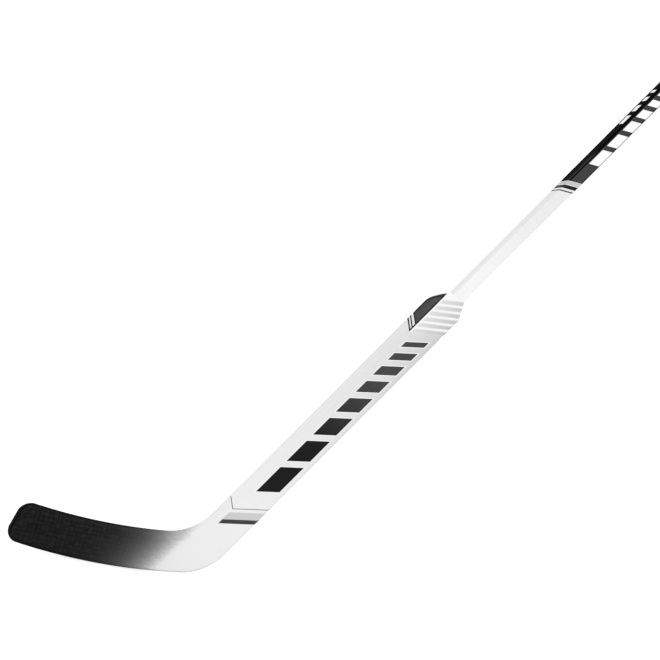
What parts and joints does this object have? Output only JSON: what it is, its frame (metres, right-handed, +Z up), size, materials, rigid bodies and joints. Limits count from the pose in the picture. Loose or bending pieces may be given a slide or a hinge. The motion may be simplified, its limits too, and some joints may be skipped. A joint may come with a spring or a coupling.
{
  "type": "hockey goalie stick",
  "caption": "Hockey goalie stick with a hollow shaft, a wide foam-cored paddle with sloping shoulders, and a curved foam-cored blade with a round heel and a square toe.",
  "frame": {"origin": "point where the rockered sole touches the ice, on the stick's middle plane at the heel", "axes": "+Z up, +X from the toe towards the butt end, -Y out of the front face, with the stick in playing position"},
  "size_m": [1.1726, 0.0327, 1.3383],
  "materials": {
    "shaft_laminate": "white gloss paint over a fibre laminate",
    "paddle_laminate": "white gloss paint with grey stripes over a fibre laminate",
    "blade_weave": "black woven fibre under satin resin, fading to white at the heel",
    "wrap_film": "satin black film",
    "butt_rubber": "matt black rubber",
    "plug_plastic": "moulded plastic",
    "rib_laminate": "bare fibre laminate",
    "core_foam": "rigid foam"
  },
  "bodies": {
    "root": {"shaft_tube": "shaft_laminate", "butt_cap": "butt_rubber", "tenon_plug": "plug_plastic", "shaft_wrap": "wrap_film", "shoulder_block": "paddle_laminate", "paddle_front_skin": "paddle_laminate", "paddle_back_skin": "paddle_laminate", "paddle_upper_rail": "paddle_laminate", "paddle_lower_rail": "paddle_laminate", "paddle_upper_rib": "rib_laminate", "paddle_lower_rib": "rib_laminate", "paddle_upper_core": "core_foam", "paddle_center_core": "core_foam", "paddle_lower_core": "core_foam", "heel_block": "core_foam", "blade_front_skin": "blade_weave", "blade_back_skin": "blade_weave", "blade_top_rail": "blade_weave", "blade_sole_rail": "blade_weave", "blade_upper_core": "core_foam", "blade_lower_core": "core_foam", "blade_rib": "rib_laminate", "toe_block": "blade_weave"}
  },
  "joints": []
}
